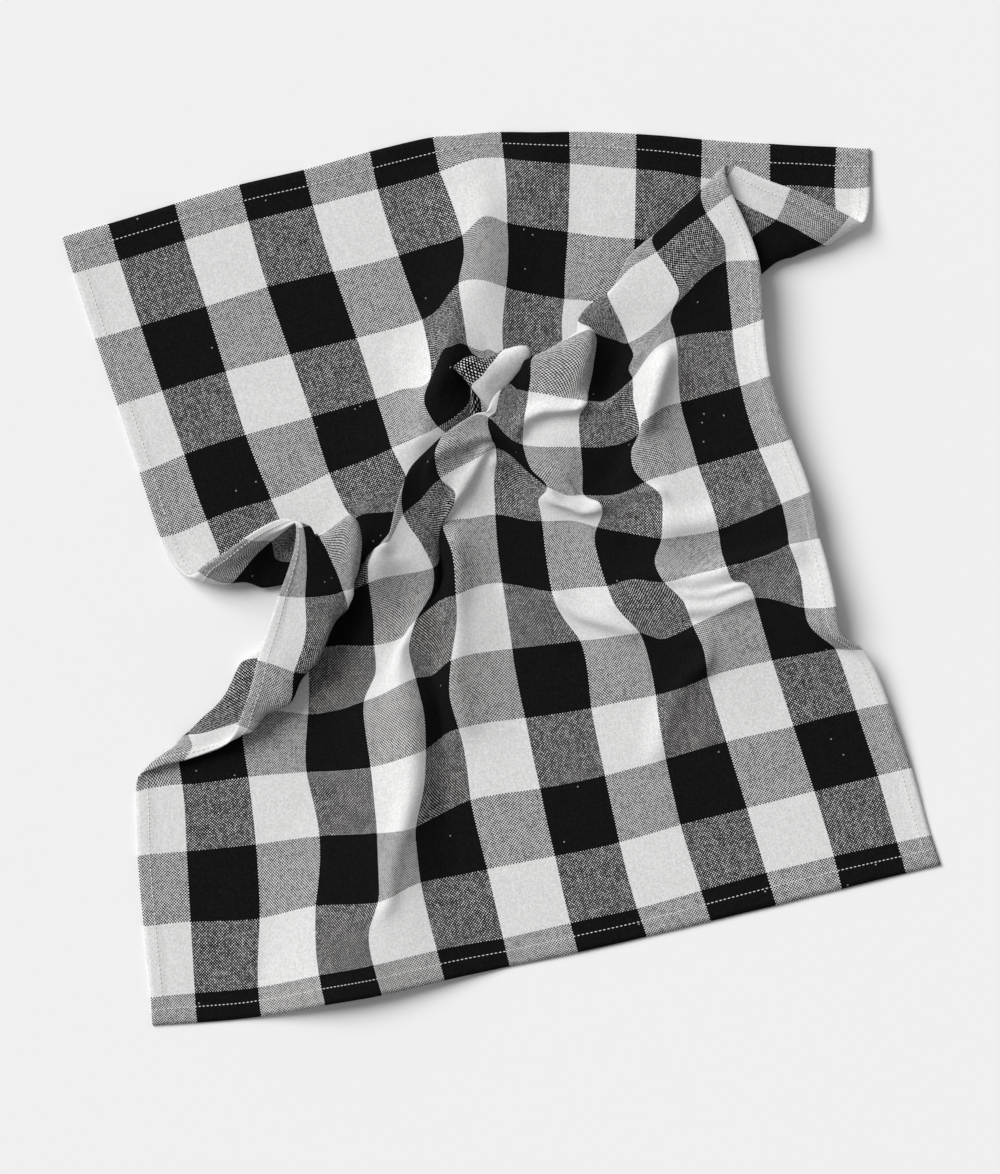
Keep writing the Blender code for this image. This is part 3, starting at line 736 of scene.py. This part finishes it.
def weave_material():
    """Yarn-dyed plain weave in a dark and pale check, the same threads seen from both sides."""
    cloth = Material("check_weave")
    flat = cloth.add("ShaderNodeAttribute", {"attribute_name": "flat_place"}, out=1)
    split = cloth.add("ShaderNodeSeparateXYZ", None, {0: flat})
    node = split.socket.node
    across, down, side = (Value(cloth, node.outputs[axis]) for axis in range(3))

    warp_thread = (across / THREAD).floor()
    weft_thread = (down / THREAD).floor()
    dark_warp = ((warp_thread * THREAD - FIRST_WARP_LINE) % (2 * BAND_ACROSS)) < BAND_ACROSS
    pale_weft = ((weft_thread * THREAD - FIRST_WEFT_LINE) % (2 * BAND_DOWN)) < BAND_DOWN
    dark_weft = 1.0 - pale_weft

    # plain weave: the warp is on top at every other crossing, and from behind at the others
    warp_on_top = ((warp_thread + weft_thread) % 2.0) < 0.5
    seen_from_top = side > 0.0
    warp_shows = (warp_on_top - (1.0 - seen_from_top)).size()
    crossing = cloth.add("ShaderNodeCombineXYZ", None, {0: warp_thread, 1: weft_thread})
    flat_noise = {"noise_dimensions": "2D"}
    chance = cloth.add("ShaderNodeTexWhiteNoise", flat_noise, {"Vector": crossing}, out=0)
    warp_yarn = thread_noise(cloth, across, down, True)
    weft_yarn = thread_noise(cloth, across, down, False)
    cover = 1.0 + (chance - 0.5) * UNEVEN_CROSSING
    cover = cover + (warp_yarn - 0.5) * UNEVEN_WARP + (weft_yarn - 0.5) * UNEVEN_WEFT
    in_warp = ((across / THREAD) % 1.0 - 0.5).size()
    in_weft = ((down / THREAD) % 1.0 - 0.5).size()
    warp_core = warp_shows * (in_warp < cover * WARP_CORE)
    weft_core = (1.0 - warp_shows) * (in_weft < cover * WEFT_CORE) * (in_warp < cover * WEFT_CORE)
    gap = 1.0 - warp_core - weft_core
    # the gaps between threads take the dark colour wherever a dark thread crosses: partly the dark
    # thread beneath, partly painted shade between the threads
    dark = warp_core * dark_warp + weft_core * dark_weft + gap * dark_warp.either(dark_weft)
    dark = dark * (1.0 - (chance < LINT_SHARE) * LINT_PALENESS)

    uneven = warp_yarn * WARP_TONE + weft_yarn * WEFT_TONE + chance * CROSSING_TONE
    # painted shade: where warp and weft differ in colour, pale threads are drawn darker, for the shadow
    # of the dark threads beside them
    mixed = (dark_warp - dark_weft).size()
    paleness = (uneven - PALE_FROM) * PALE_CONTRAST - mixed * (1.0 - chance) * SUNK_SHADE
    pale_colour = cloth.mix(paleness, PALE_DULL_TONE_AND_SHADE, PALE)
    dark_colour = cloth.mix((uneven - FADED_FROM) * FADED_CONTRAST, DARK, DARK_FADED)
    colour = cloth.mix(dark, pale_colour, dark_colour)

    # each thread is round: 1 along its crest, falling to 0 at its edge
    warp_round = 1.0 - in_warp * in_warp * 4.0
    weft_round = 1.0 - in_weft * in_weft * 4.0
    relief = warp_shows * warp_round + (1.0 - warp_shows) * weft_round
    sockets = {"Height": relief + uneven, "Strength": WEAVE_BUMP, "Distance": WEAVE_RELIEF}
    bump = cloth.add("ShaderNodeBump", None, sockets)
    cloth.put(cloth.shader.inputs["Base Color"], colour)
    cloth.put(cloth.shader.inputs["Normal"], bump)
    cloth.shader.inputs["Roughness"].default_value = CLOTH_ROUGHNESS
    cloth.shader.inputs["Specular IOR Level"].default_value = CLOTH_SHINE
    return cloth


check_weave = weave_material()
woven_panel.data.materials.append(check_weave.data)
print("weave nodes", len(check_weave.nodes))

# %% [markdown]
# Each hem is held by a running stitch in white thread. At this size a stitch is a small
# rounded bar that dips into the cloth at both ends, so each is a short capsule laid on the
# sheet. They are worked out along the hem by a loop and joined into one piece. The same
# thread shows on both faces of the cloth, so each stitch is made twice.

# %% Hem stitches
STITCH_PITCH = 0.0026
STITCH_LENGTH = 0.0017
STITCH_RADIUS = 0.00028
END_STITCH = 0.0105           # from the end hem's edge to its stitching
SIDE_STITCH = 0.0075          # from the side hem's edge to its stitching
END_GAP = 0.002               # from the side edge to the first stitch of an end hem
SIDE_GAP = 0.012              # from the end edge to the first stitch of a side hem
STITCH_SIDES = 6
LOWEST_THREAD = 0.00005       # no stitch goes below this height
STITCH_RINGS = (
    # share of the length, share of the radius, rise in radii
    (0.0, 0.25, -0.6),
    (0.22, 1.0, 0.35),
    (0.78, 1.0, 0.35),
    (1.0, 0.25, -0.6),
)


def stitch_lines():
    """(start, end) of each line of stitching, on the flat cloth."""
    right = CLOTH_WIDTH - SIDE_STITCH
    bottom = CLOTH_LENGTH - END_STITCH
    return (
        ((END_GAP, END_STITCH), (CLOTH_WIDTH - END_GAP, END_STITCH)),
        ((END_GAP, bottom), (CLOTH_WIDTH - END_GAP, bottom)),
        ((SIDE_STITCH, SIDE_GAP), (SIDE_STITCH, CLOTH_LENGTH - SIDE_GAP)),
        ((right, SIDE_GAP), (right, CLOTH_LENGTH - SIDE_GAP)),
    )


def frames_on_cloth(across, down):
    """Places on the sheet's middle, and its unit normals, for lists of cloth points."""
    here, normals = lay(across, down)
    here[:, 2] += CLOTH_THICKNESS / 2 + HEM_EXTRA
    return here, normals


def stitch_ends():
    """Both ends of every stitch, on the flat cloth."""
    starts = []
    ends = []
    for start, end in stitch_lines():
        start = np.array(start)
        end = np.array(end)
        length = np.linalg.norm(end - start)
        along = (end - start) / length
        count = int(length / STITCH_PITCH)
        for number in range(count):
            middle = start + along * STITCH_PITCH * (number + 0.5)
            starts.append(middle - along * STITCH_LENGTH / 2)
            ends.append(middle + along * STITCH_LENGTH / 2)
    return np.array(starts), np.array(ends)


def stitch_points(start, end, up):
    """Rings of points around one stitch that lies on the skin on the side of up."""
    along = (end - start) / np.linalg.norm(end - start)
    across = np.cross(along, up)
    half = CLOTH_THICKNESS / 2 + HEM_EXTRA
    points = []
    for share, radius, rise in STITCH_RINGS:
        centre = start + (end - start) * share + up * (half + STITCH_RADIUS * rise)
        for corner in range(STITCH_SIDES):
            angle = 2 * np.pi * corner / STITCH_SIDES
            ring = across * np.cos(angle) + up * np.sin(angle)
            points.append(centre + ring * STITCH_RADIUS * radius)
    return points


def stitch_faces(base):
    """Sides and end caps of the stitch whose first point is number base."""
    faces = []
    for ring in range(len(STITCH_RINGS) - 1):
        for corner in range(STITCH_SIDES):
            after = (corner + 1) % STITCH_SIDES
            low = base + ring * STITCH_SIDES
            high = low + STITCH_SIDES
            faces.append((low + corner, low + after, high + after, high + corner))
    last = base + (len(STITCH_RINGS) - 1) * STITCH_SIDES
    faces.append(tuple(base + corner for corner in reversed(range(STITCH_SIDES))))
    faces.append(tuple(last + corner for corner in range(STITCH_SIDES)))
    return faces


def make_stitches():
    """All hem stitches, on both faces of the cloth, as one mesh."""
    starts, ends = stitch_ends()
    from_place, from_normal = frames_on_cloth(starts[:, 0], starts[:, 1])
    to_place, to_normal = frames_on_cloth(ends[:, 0], ends[:, 1])
    points = []
    faces = []
    for face_side in (1.0, -1.0):
        for start, end, up_start, up_end in zip(from_place, to_place, from_normal, to_normal):
            up = (up_start + up_end) * face_side / np.linalg.norm(up_start + up_end)
            faces += stitch_faces(len(points))
            points += stitch_points(start, end, up)
    points = np.array(points)
    points[:, 2] = np.maximum(points[:, 2], LOWEST_THREAD)
    mesh = bpy.data.meshes.new("hem_stitches")
    mesh.from_pydata(points.tolist(), [], faces)
    face_outwards(mesh)
    stitches = bpy.data.objects.new("hem_stitches", mesh)
    bpy.context.scene.collection.objects.link(stitches)
    return stitches


SEWING_WHITE = (0.86, 0.86, 0.85, 1.0)
SEWING_SHADE = (0.62, 0.62, 0.61, 1.0)
THREAD_FUZZ = 2500.0          # light and dark changes per metre
THREAD_ROUGHNESS = 0.75


def thread_material():
    """White sewing thread, a little uneven in tone."""
    thread = Material("sewing_thread")
    place = thread.add("ShaderNodeTexCoord", out=3)
    sockets = {"Vector": place, "Scale": THREAD_FUZZ, "Detail": YARN_DETAIL}
    fuzz = thread.add("ShaderNodeTexNoise", None, sockets)
    colour = thread.mix(fuzz, SEWING_SHADE, SEWING_WHITE)
    thread.put(thread.shader.inputs["Base Color"], colour)
    thread.shader.inputs["Roughness"].default_value = THREAD_ROUGHNESS
    return thread


hem_stitches = make_stitches()
hem_stitches.data.materials.append(thread_material().data)
print("stitch faces", len(hem_stitches.data.polygons))

# %% [markdown]
# The floor is a plain pale sheet, wide enough that no view from the side runs off it.

# %% Floor
FLOOR_SIDE = 12.0
FLOOR_DROP = 0.0002           # a hair below the cloth, so that the two never share a plane
FLOOR_WHITE = (0.88, 0.88, 0.88, 1.0)
FLOOR_ROUGHNESS = 0.9
floor_mesh = bpy.data.meshes.new("floor")
floor_corners = [
    (FLOOR_SIDE / 2 * right, FLOOR_SIDE / 2 * up, -FLOOR_DROP)
    for right, up in ((-1, -1), (1, -1), (1, 1), (-1, 1))
]
floor_mesh.from_pydata(floor_corners, [], [(0, 1, 2, 3)])
floor = bpy.data.objects.new("floor", floor_mesh)
bpy.context.scene.collection.objects.link(floor)
floor_paint = Material("floor_paint")
floor_paint.shader.inputs["Base Color"].default_value = FLOOR_WHITE
floor_paint.shader.inputs["Roughness"].default_value = FLOOR_ROUGHNESS
floor_mesh.materials.append(floor_paint.data)
print("floor", FLOOR_SIDE, "m square")

# %% [markdown]
# Last, each piece is tied to the imported model: it moves with the model's one body and
# stands for the plain cloth solid, which is hidden.

# %% Tie the pieces to the frame
for piece in (woven_panel, hem_stitches):
    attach(piece, "root")
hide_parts("tea_towel")
